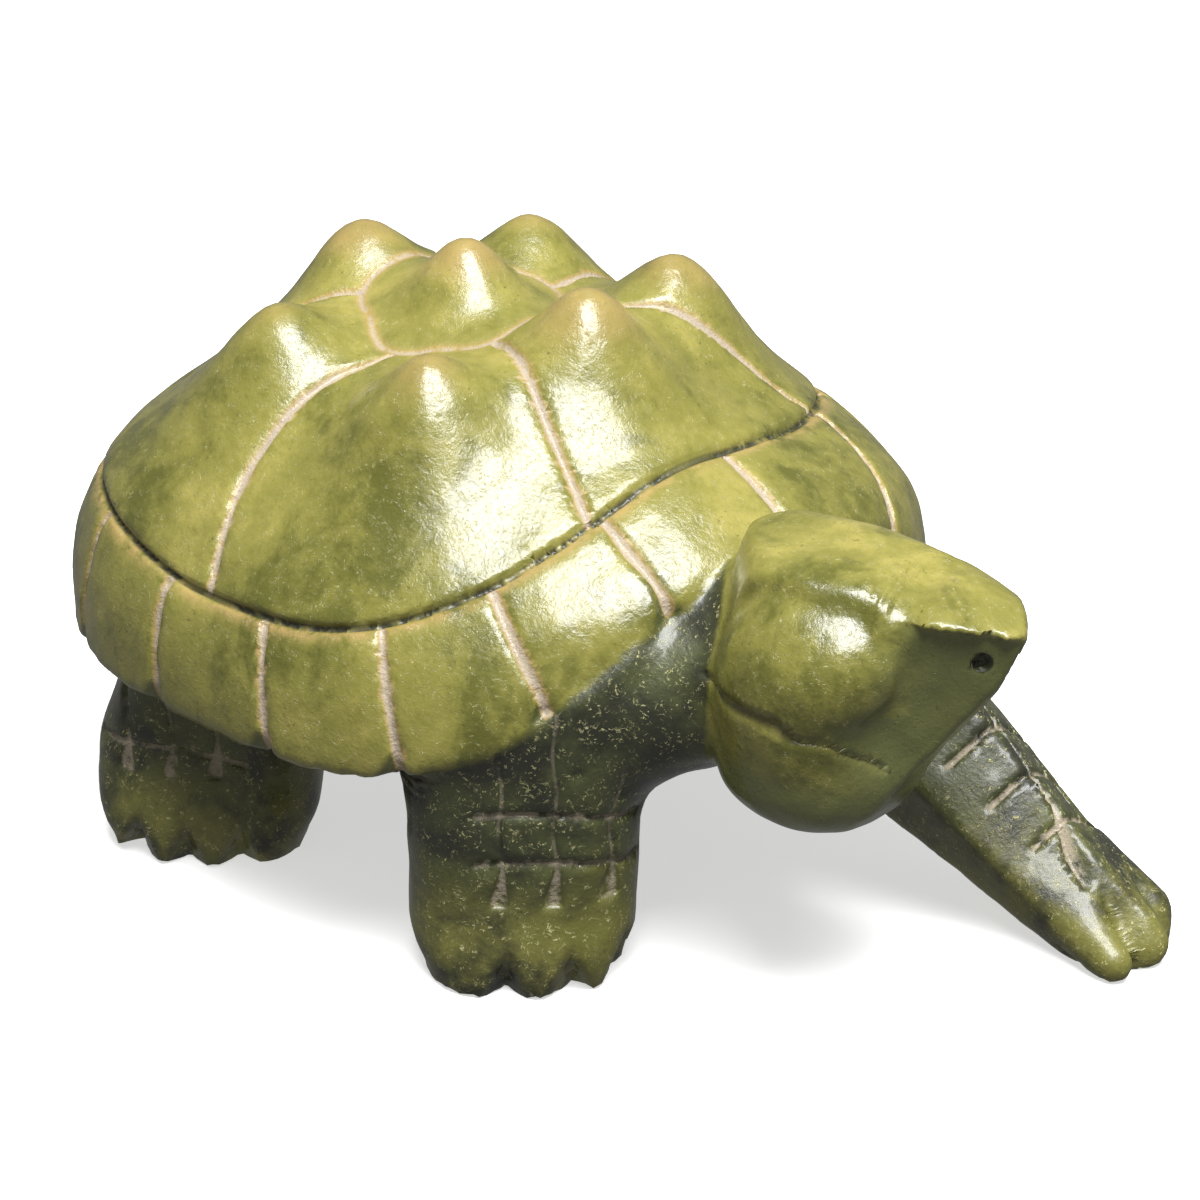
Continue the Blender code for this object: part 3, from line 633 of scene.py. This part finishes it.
    def crevices(self, x, y, z):
        """Rough cuts under the rim along the shoulders: bell curves of the depth below the rim's edge."""
        r, angle = around_shell(x, y)
        side = np.abs(np.degrees(angle))
        below = self.rim_height(angle) - z + 0.4 * waver(x, y, z, 15.0)
        near = fade(66.0, 60.0, r) * fade(8.0, 16.0, side) * fade(80.0, 66.0, side)
        lines = np.maximum(cut(below - 2.2, 1.3), 0.9 * cut(below - 4.0, 0.9))
        return np.maximum(lines, 0.6 * cut(below - 5.8, 0.8)) * near

    def body(self, x, y, z, fine):
        """All but the shell."""
        return smooth_min(self.trunk(x, y, z, fine), self.head(x, y, z, fine), 3.0)

    def field(self, points, fine=True):
        """Roughly the distance to the surface, cut off level with the ground so that the soles are flat."""
        x, y, z = points[..., 0], points[..., 1], points[..., 2]
        field = smooth_min(self.shell(x, y, z, fine), self.body(x, y, z, fine), 1.0)
        field = field + self.unevenness * (waver(x, y, z, 19.0) + 0.5 * waver(y, z, x, 7.0))
        if fine:
            for px, py, pz, radius in PITS:
                away = np.sqrt((x - px) ** 2 + (y - py) ** 2 + (z - pz) ** 2)
                field = field + 0.6 * cut(away, 1.6 * radius)
        return smooth_max(field, -z, 0.5)

    def masks(self, points):
        """What the material reads at each point: powder in the cuts, cracks, worn tips, dark parts, the
        head, and painted shade and a painted lip highlight.
        """
        x, y, z = points[:, 0], points[:, 1], points[:, 2]
        lines, hollow, plates, crack, ledge, chamfer = self.shell_lines(x, y, z)
        shell, body = self.shell(x, y, z, False), self.body(x, y, z, False)
        on_shell = fade(0.4, -0.4, shell - body)
        over_edge = z - self.rim_height(around_shell(x, y)[1])
        above = fade(-0.5, 1.5, over_edge)
        groove = np.maximum(lines, plates) * on_shell * above
        tips = self.knob_rise(x, y) / 16.0
        u, v, w = self.stretched_place(x, y, z)
        near_limb = fade(1.5, 0.5, np.abs(self.stretched_leg(x, y, z, True)))
        leg_cut = self.stretched_grid(u, v) * fade(0.0, 2.0, w) * near_limb
        for which, (ahead, left, *_) in enumerate(COLUMN_LEGS):
            out, across = self.leg_place(x, y, which)
            near = fade(2.0, 6.0, out) * fade(22.0, 20.0, np.hypot(x - ahead, y - left))
            leg_cut = np.maximum(leg_cut, self.leg_grid(across, z, which) * near)
        head = fade(-0.5, 0.5, self.trunk(x, y, z, False) - self.head(x, y, z, False))
        f, l, h = self.head_place(x, y, z)
        # The lower lip's bevel gets a painted highlight through the ochre of the worn tips.
        lip = self.mouth_cut(f, l, h) / MOUTH_DEPTH * head
        # Painted shade in the drilled eye hole, carried by the crack mask.
        eye = fade(0.5, -0.3, self.eye_hole(f, l, h)) * head
        # Painted shade: the cuts under the rim and the line where the shell meets the body below the rim's
        # edge are darkened.
        shell_joint_shade = fade(1.6, 0.2, np.abs(shell - body)) * fade(-0.5, -2.5, over_edge)
        painted_crevice_shade = np.maximum(self.crevices(x, y, z), shell_joint_shade)
        leg_cut = leg_cut * (1.0 - on_shell)
        return {
            "powder": np.maximum(groove, 0.35 * hollow * on_shell),
            "leg_powder": leg_cut,
            # The dark crack line, and painted shade in the eye hole.
            "crack": np.clip(np.maximum(crack * on_shell * above, eye), 0.0, 1.0),
            # Worn knob tips, which are the stone's own, and a painted highlight on the lower lip.
            "wear_and_lip_highlight": np.clip(fade(0.70, 1.02, tips) * on_shell + 0.5 * lip, 0.0, 1.0),
            "ledge": ledge * on_shell * (1.0 - crack),
            "moss": np.clip(chamfer * 3.0, 0.0, 1.0) * on_shell,
            "body": 1.0 - on_shell,
            "head": head * (1.0 - on_shell),
            # Partly greyer stone and partly painted shade: the darker green on the cheek and chin.
            "cheek": head * fade(-4.0, 2.0, self.cheek_side(f, l, h)) * fade(-0.4, -1.6, h),
            "painted_crevice_shade": painted_crevice_shade,
        }


def plug(value):
    """Fills grid corners where the stone would touch itself only along an edge, to keep the net closed."""
    again = True
    while again:
        inside = value < 0.0
        fill = np.zeros_like(inside)
        for a, b in ((0, 1), (0, 2), (1, 2)):
            squares = []
            for i, j in ((0, 0), (0, 1), (1, 0), (1, 1)):
                place = [slice(None)] * 3
                place[a], place[b] = slice(i, value.shape[a] - 1 + i), slice(j, value.shape[b] - 1 + j)
                squares.append(tuple(place))
            near, left, right, far = (inside[s] for s in squares)
            touching = (near == far) & (left == right) & (near != left)
            for square in squares:
                fill[square] |= touching
        fill &= ~inside
        value = np.where(fill, FILLED, value)
        again = fill.any()
    return value


def surface_net(carving, low, high, step):
    """A net over the field: one point in each grid cell that the surface crosses, at the mean of the
    crossings on the cell's edges, and one quad round each grid edge that is crossed."""
    counts = [int(np.ceil((b - a) / step)) + 1 for a, b in zip(low, high)]
    axes = [a + step * np.arange(n) for a, n in zip(low, counts)]
    grid = np.stack(np.meshgrid(*axes, indexing="ij"), -1)
    value = plug(carving.field(grid, False))
    inside = value < 0.0
    cells = tuple(n - 1 for n in counts)
    total = np.zeros(cells + (3,))
    hits = np.zeros(cells)
    crossed = []
    for axis in range(3):
        first = [slice(None)] * 3
        second = [slice(None)] * 3
        first[axis], second[axis] = slice(0, -1), slice(1, None)
        first, second = tuple(first), tuple(second)
        cross = inside[first] != inside[second]
        t = np.where(cross, value[first] / np.where(cross, value[first] - value[second], 1.0), 0.0)
        place = grid[first].copy()
        place[..., axis] += t * step
        others = [k for k in range(3) if k != axis]
        for i in (0, 1):
            for j in (0, 1):
                near = [slice(None)] * 3
                near[others[0]] = slice(i, counts[others[0]] - 1 + i)
                near[others[1]] = slice(j, counts[others[1]] - 1 + j)
                near = tuple(near)
                total += np.where(cross[near][..., None], place[near], 0.0)
                hits += cross[near]
        crossed.append((cross, inside[first]))
    used = hits > 0
    index = np.full(cells, -1)
    index[used] = np.arange(used.sum())
    points = total[used] / hits[used][:, None]
    faces = []
    for axis, (cross, starts_inside) in enumerate(crossed):
        place = list(np.nonzero(cross))
        a, b = [n for n in range(3) if n != axis]
        keep = (place[a] > 0) & (place[b] > 0) & (place[a] < cells[a]) & (place[b] < cells[b])
        place = [p[keep] for p in place]
        flip = starts_inside[cross][keep] ^ (axis == 1)
        corners = []
        for da, db in ((1, 1), (0, 1), (0, 0), (1, 0)):
            corner = [p.copy() for p in place]
            corner[a] -= da
            corner[b] -= db
            corners.append(index[tuple(corner)])
        quad = np.stack(corners, -1)
        quad[~flip] = quad[~flip][:, ::-1]
        faces.append(quad)
    return points, np.concatenate(faces)


def settle(carving, points, rounds, reach=0.8):
    """Moves points along the field's slope, by its value over the slope's size, towards the surface."""
    nudge = 0.02
    for _ in range(rounds):
        value = carving.field(points)
        slope = np.stack([carving.field(points + nudge * d) - carving.field(points - nudge * d)
                          for d in np.eye(3)], -1) / (2.0 * nudge)
        size = np.maximum((slope ** 2).sum(-1), 0.05)
        points = points - slope * np.clip(value / size, -reach, reach)[:, None]
    return points


def split_long(points, corners, longest):
    """Halves each triangle edge that is longer than the length wanted at its middle."""
    edges = np.sort(corners[:, ((0, 1), (1, 2), (2, 0))], -1).reshape(-1, 2)
    edges, which = np.unique(edges, axis=0, return_inverse=True)
    which = which.reshape(-1, 3)
    middle = points[edges].mean(1)
    length = np.linalg.norm(points[edges[:, 0]] - points[edges[:, 1]], axis=1)
    halve = length > longest(middle)
    new = np.full(len(edges), -1)
    new[halve] = len(points) + np.arange(halve.sum())
    points = np.concatenate((points, middle[halve]))
    halved = halve[which]
    count = halved.sum(1)
    first = np.where(count == 1, halved.argmax(1), np.where(count == 2, (~halved).argmax(1) + 1, 0)) % 3
    order = (first[:, None] + np.arange(3)) % 3
    a, b, c = np.take_along_axis(corners, order, 1).T
    ab, bc, ca = np.take_along_axis(new[which], order, 1).T
    plans = {0: ((a, b, c),), 1: ((a, ab, c), (ab, b, c)), 2: ((a, ab, c), (ab, bc, c), (ab, b, bc)),
             3: ((a, ab, ca), (ab, b, bc), (ca, bc, c), (ab, bc, ca))}
    parts = [np.stack(t, -1)[count == n] for n, plan in plans.items() for t in plan]
    return points, np.concatenate(parts)


def carved_mesh(carving):
    """The net, settled on the carved surface and made finer along the cuts, as a triangle mesh.

    Its middle in plan and its lowest point go where the frame's own are. The move is given back too."""
    points, faces = surface_net(carving, NET_LOW, NET_HIGH, carving.coarsest)
    corners = np.concatenate((faces[:, (0, 1, 2)], faces[:, (0, 2, 3)]))
    points = settle(carving, points, 6)

    def longest(middle):
        change = np.abs(carving.field(middle, True) - carving.field(middle, False))
        on_head = fade(2.5, 1.5, carving.head(*middle.T, False))
        smooth = SMOOTH_STEPS * carving.coarsest - HEAD_FINER * on_head
        return carving.finest + (smooth - carving.finest) * fade(0.16, 0.08, change)

    for _ in range(2):
        points, corners = split_long(points, corners, longest)
        points = settle(carving, points, 2)
    mesh = bpy.data.meshes.new("stone_turtle_carving")
    places = points * MM
    target = np.array(FRAME_BOUNDS)
    middle = (places.min(0) + places.max(0)) / 2.0 - target.mean(0)
    middle[2] = places[:, 2].min() - target[0, 2]
    mesh.from_pydata((places - middle).tolist(), [], corners.tolist())
    for name, values in carving.masks(points).items():
        layer = mesh.attributes.new(name, "FLOAT", "POINT")
        layer.data.foreach_set("value", np.ascontiguousarray(values, dtype=np.float32))
    mesh.shade_smooth()
    mesh.update()
    return mesh, middle


class Amount:
    """A value in a material's node tree. An expression on amounts adds its Math nodes."""

    def __init__(self, paint, socket):
        self.paint, self.socket = paint, socket

    def worked(self, operation, *values):
        return self.paint.node("ShaderNodeMath", {"operation": operation}, dict(enumerate(values)))

    def __add__(self, other):
        return self.worked("ADD", self, other)

    def __radd__(self, other):
        return self.worked("ADD", other, self)

    def __sub__(self, other):
        return self.worked("SUBTRACT", self, other)

    def __rsub__(self, other):
        return self.worked("SUBTRACT", other, self)

    def __mul__(self, other):
        return self.worked("MULTIPLY", self, other)

    def __rmul__(self, other):
        return self.worked("MULTIPLY", other, self)

    def over(self, other):
        """The greater of the two."""
        return self.worked("MAXIMUM", self, other)

    def unsigned(self):
        return self.worked("ABSOLUTE", self)

    def clear(self):
        """Held between 0 and 1."""
        return self.worked("MAXIMUM", self.worked("MINIMUM", self, 1.0), 0.0)


class Paint:
    """A material and the one way its nodes are added."""

    def __init__(self, name):
        self.material = bpy.data.materials.new(name)
        self.material.use_nodes = True
        self.tree = self.material.node_tree
        self.shader = self.tree.nodes["Principled BSDF"]

    def node(self, kind, settings=None, sockets=None, output=0):
        """Adds a node of a type, with its settings first, then its sockets' values or links."""
        node = self.tree.nodes.new(kind)
        for name, value in (settings or {}).items():
            setattr(node, name, value)
        for name, value in (sockets or {}).items():
            self.feed(node.inputs[name], value)
        return Amount(self, node.outputs[output])

    def feed(self, socket, value):
        if isinstance(value, Amount):
            self.tree.links.new(value.socket, socket)
        else:
            socket.default_value = value

    def place(self):
        return self.node("ShaderNodeTexCoord", output="Object")

    def mask(self, name):
        return self.node("ShaderNodeAttribute", {"attribute_name": name}, output="Fac")

    def noise(self, where, scale, detail=4.0, roughness=0.55, distortion=0.0):
        return self.node("ShaderNodeTexNoise", {}, {"Vector": where, "Scale": scale, "Detail": detail,
                                                    "Roughness": roughness, "Distortion": distortion}, "Fac")

    def between(self, value, low, high):
        """0 at low and 1 at high, smooth between; low may be the greater."""
        return self.node("ShaderNodeMapRange", {"interpolation_type": "SMOOTHSTEP"},
                         {"Value": value, "From Min": low, "From Max": high})

    def blend(self, factor, first, second):
        """The first colour at 0, the second at 1."""
        return self.node("ShaderNodeMix", {"data_type": "RGBA"}, {0: factor, 6: first, 7: second}, 2)


def stone_paint(colours):
    """Cloudy green stone: olive, pale and dark clouds, flecks, ochre tips and pale powder in the cuts, with
    painted shade in the crevices, the eye hole and on the cheek and chin, and a painted highlight on the
    lower lip.
    """
    paint = Paint("polished_green_stone")
    where = paint.place()
    clouds, patches, grain, dust, threads = (paint.noise(where, *pattern)
                                             for pattern in (CLOUDS, PATCHES, GRAIN, DUST, THREADS))
    body, head, cheek = paint.mask("body"), paint.mask("head"), paint.mask("cheek")
    powder, leg_powder = paint.mask("powder"), paint.mask("leg_powder")
    crack, wear_and_lip_highlight, ledge = paint.mask("crack"), paint.mask("wear_and_lip_highlight"), paint.mask("ledge")
    moss, painted_crevice_shade = paint.mask("moss"), paint.mask("painted_crevice_shade")
    dark = (body - head).clear()
    height = paint.node("ShaderNodeSeparateXYZ", {}, {0: where}, 2)

    mottle = clouds * 0.52 + patches * 0.32 + grain * 0.16
    shell = paint.blend(paint.between(mottle, 0.38, 0.52), list(colours.shade), list(colours.olive))
    shell = paint.blend(paint.between(mottle, 0.50, 0.64), shell, list(colours.yellow))
    spots = paint.between(paint.noise(where, *SPOTS), 0.62, 0.72)
    shell = paint.blend(spots * 0.6, shell, list(colours.shade))

    limbs = paint.between(patches * 0.6 + clouds * 0.4, 0.40, 0.60)
    limbs = paint.blend(limbs, list(colours.deep), list(colours.moss))
    foot = paint.between(height, 0.026, 0.004) * paint.between(mottle, 0.40, 0.56)
    limbs = paint.blend(foot * 0.8, limbs, list(colours.olive))
    limbs = paint.blend(paint.between(clouds, 0.54, 0.68) * 0.6, limbs, list(colours.shade))
    colour = paint.blend(dark, shell, limbs)
    colour = paint.blend(moss * 0.8, colour, list(colours.moss))
    # The cheek and chin painted darker and greyer: partly the stone's tone, partly painted shade.
    colour = paint.blend(cheek * 0.75, colour, list(colours.cheek))

    ridge = paint.between((threads - 0.5).unsigned(), 0.035, 0.008)
    squiggles = ridge * paint.between(dust, 0.48, 0.60) * paint.between(grain, 0.42, 0.58)
    fewer = (0.40 + 0.50 * dark - 0.35 * cheek).clear()
    colour = paint.blend((squiggles * fewer).clear(), colour, list(colours.fleck))
    pepper = paint.between(dust, 0.40, 0.30) * paint.between(patches, 0.46, 0.62)
    colour = paint.blend(pepper * 0.5, colour, list(colours.deep))

    # Ochre on the worn knob tips, and a painted highlight on the lower lip's bevel.
    rubbed = (wear_and_lip_highlight * (0.35 + 0.9 * (patches - 0.2))).clear()
    colour = paint.blend(rubbed * 0.8, colour, list(colours.ochre))
    # Painted shade: deep green in the cuts under the rim and where the shell meets the body.
    colour = paint.blend(painted_crevice_shade * 0.8, colour, list(colours.deep))
    worn_edge = ledge * paint.between(patches * 0.5 + grain * 0.5, 0.38, 0.56)
    colour = paint.blend(worn_edge * 0.75, colour, list(colours.ochre))
    broken = paint.between(grain, 0.30, 0.52)
    chalk = (powder * (0.50 + 0.50 * broken)).clear()
    colour = paint.blend(paint.between(powder, 0.10, 0.45) * 0.6, colour, list(colours.ochre))
    colour = paint.blend(paint.between(chalk, 0.40, 0.85) * 0.9, colour, list(colours.powder))
    pale = paint.between(leg_powder, 0.35, 0.9) * paint.between(patches * 0.5 + grain * 0.5, 0.42, 0.56)
    colour = paint.blend(pale * 0.8, colour, list(colours.powder))
    # Deep green on the dark crack line, and painted shade in the eye hole.
    colour = paint.blend(paint.between(crack, 0.30, 0.80) * 0.92, colour, list(colours.deep))
    paint.feed(paint.shader.inputs["Base Color"], colour)

    rough = colours.gloss + 0.14 * (grain - 0.5) + 0.10 * (patches - 0.5)
    rough = rough + chalk.over(pale) * 0.40 + 0.14 * dark
    paint.feed(paint.shader.inputs["Roughness"], (rough + crack * 0.3).clear())

    relief = grain * 0.45 + threads * 0.30 + dust * (0.22 + 0.8 * chalk.over(pale)) - 0.25 * squiggles
    bump = paint.node("ShaderNodeBump", {},
                      {"Strength": BUMP_STRENGTH, "Distance": BUMP_DEPTH, "Height": relief})
    paint.feed(paint.shader.inputs["Normal"], bump)
    paint.shader.inputs["IOR"].default_value = STONE_IOR
    paint.shader.inputs["Coat Weight"].default_value = COAT
    paint.shader.inputs["Coat Roughness"].default_value = COAT_ROUGHNESS
    return paint.material


class TURTLE_OT_carve(bpy.types.Operator):
    """Carve the turtle in fine detail where the frame's solid stands"""
    bl_idname = "turtle.carve"
    bl_label = "Carve the turtle"

    def execute(self, context):
        mesh, middle = carved_mesh(Carving(context.scene.turtle_sizes))
        piece = bpy.data.objects.new("stone_turtle_carving", mesh)
        context.scene.collection.objects.link(piece)
        mesh.materials.append(stone_paint(context.scene.turtle_colours))
        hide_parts("stone_turtle")
        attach(piece, "root")
        context.scene["turtle_middle"] = [float(v) for v in middle]
        return {"FINISHED"}


class TURTLE_OT_stage(bpy.types.Operator):
    """Lay a pale floor, hang soft lights and set the camera at the photograph's angle"""
    bl_idname = "turtle.stage"
    bl_label = "Set the stage"

    def execute(self, context):
        scene, stage = context.scene, context.scene.turtle_stage
        span = np.linspace(-FLOOR_HALF, FLOOR_HALF, FLOOR_POINTS)
        x, y = np.meshgrid(span, span, indexing="ij")
        points = np.stack((x, y, np.zeros_like(x)), -1).reshape(-1, 3)
        steps = np.arange(FLOOR_POINTS - 1)
        row = steps[:, None] * FLOOR_POINTS + steps[None, :]
        faces = np.stack((row, row + FLOOR_POINTS, row + FLOOR_POINTS + 1, row + 1), -1).reshape(-1, 4)
        floor_mesh = bpy.data.meshes.new("floor")
        floor_mesh.from_pydata(points.tolist(), [], faces.tolist())
        floor = bpy.data.objects.new("floor", floor_mesh)
        scene.collection.objects.link(floor)
        floor.visible_glossy = False
        floor.visible_diffuse = False
        paint = Paint("pale_floor")
        paint.shader.inputs["Base Color"].default_value = list(stage.floor)
        paint.shader.inputs["Roughness"].default_value = 0.85
        paint.shader.inputs["Specular IOR Level"].default_value = 0.2
        paint.shader.inputs["Emission Color"].default_value = list(stage.floor)
        paint.shader.inputs["Emission Strength"].default_value = stage.floor_glow
        floor_mesh.materials.append(paint.material)

        world = bpy.data.worlds.new("studio")
        world.use_nodes = True
        world.node_tree.nodes["Background"].inputs["Color"].default_value = (1.0, 1.0, 1.0, 1.0)
        world.node_tree.nodes["Background"].inputs["Strength"].default_value = stage.sky
        scene.world = world
        middle = Vector(scene["turtle_middle"])

        lamp = bpy.data.lights.new("overhead", "AREA")
        lamp.shape = "SQUARE"
        lamp.size = stage.light_size
        lamp.energy = stage.light_power
        light = bpy.data.objects.new("overhead", lamp)
        a, e = np.radians(stage.light_side), np.radians(stage.light_rise)
        back = Vector((np.cos(a) * np.cos(e), np.sin(a) * np.cos(e), np.sin(e)))
        light.location = Vector(LIGHT_AIM) - middle + back * stage.light_away
        light.rotation_euler = back.to_track_quat("Z", "Y").to_euler()
        scene.collection.objects.link(light)

        a, e = np.radians(stage.camera_side), np.radians(stage.camera_rise)
        back = Vector((np.sin(a) * np.cos(e), -np.cos(a) * np.cos(e), np.sin(e)))
        right = Vector((np.cos(a), np.sin(a), 0.0))
        up = back.cross(right)
        eye = Vector(CAMERA_AIM) + back * stage.camera_away + right * VIEW_RIGHT - up * VIEW_DOWN
        camera = bpy.data.objects.new("camera", bpy.data.cameras.new("camera"))
        camera.data.lens = stage.lens
        camera.data.sensor_width = SENSOR_WIDTH
        camera.data.clip_start = 0.01
        camera.location = eye - middle
        camera.rotation_euler = back.to_track_quat("Z", "Y").to_euler()
        scene.collection.objects.link(camera)
        scene.camera = camera
        scene.view_settings.view_transform = "Standard"
        return {"FINISHED"}


class TURTLE_PT_panel(bpy.types.Panel):
    bl_label = "Stone turtle"
    bl_idname = "TURTLE_PT_panel"
    bl_space_type = "VIEW_3D"
    bl_region_type = "UI"
    bl_category = "Stone turtle"

    def draw(self, context):
        for group in ("turtle_sizes", "turtle_colours", "turtle_stage"):
            values = getattr(context.scene, group)
            box = self.layout.box()
            for name in values.__annotations__:
                box.prop(values, name)
        self.layout.operator(TURTLE_OT_carve.bl_idname)
        self.layout.operator(TURTLE_OT_stage.bl_idname)


CLASSES = (CarvingSizes, StoneColours, StageSettings, TURTLE_OT_carve, TURTLE_OT_stage, TURTLE_PT_panel)


def register():
    for item in CLASSES:
        bpy.utils.register_class(item)
    bpy.types.Scene.turtle_sizes = PointerProperty(type=CarvingSizes)
    bpy.types.Scene.turtle_colours = PointerProperty(type=StoneColours)
    bpy.types.Scene.turtle_stage = PointerProperty(type=StageSettings)


def unregister():
    del bpy.types.Scene.turtle_stage
    del bpy.types.Scene.turtle_colours
    del bpy.types.Scene.turtle_sizes
    for item in reversed(CLASSES):
        bpy.utils.unregister_class(item)


def main():
    register()
    bpy.ops.turtle.carve()
    bpy.ops.turtle.stage()


if __name__ == "__main__":
    main()
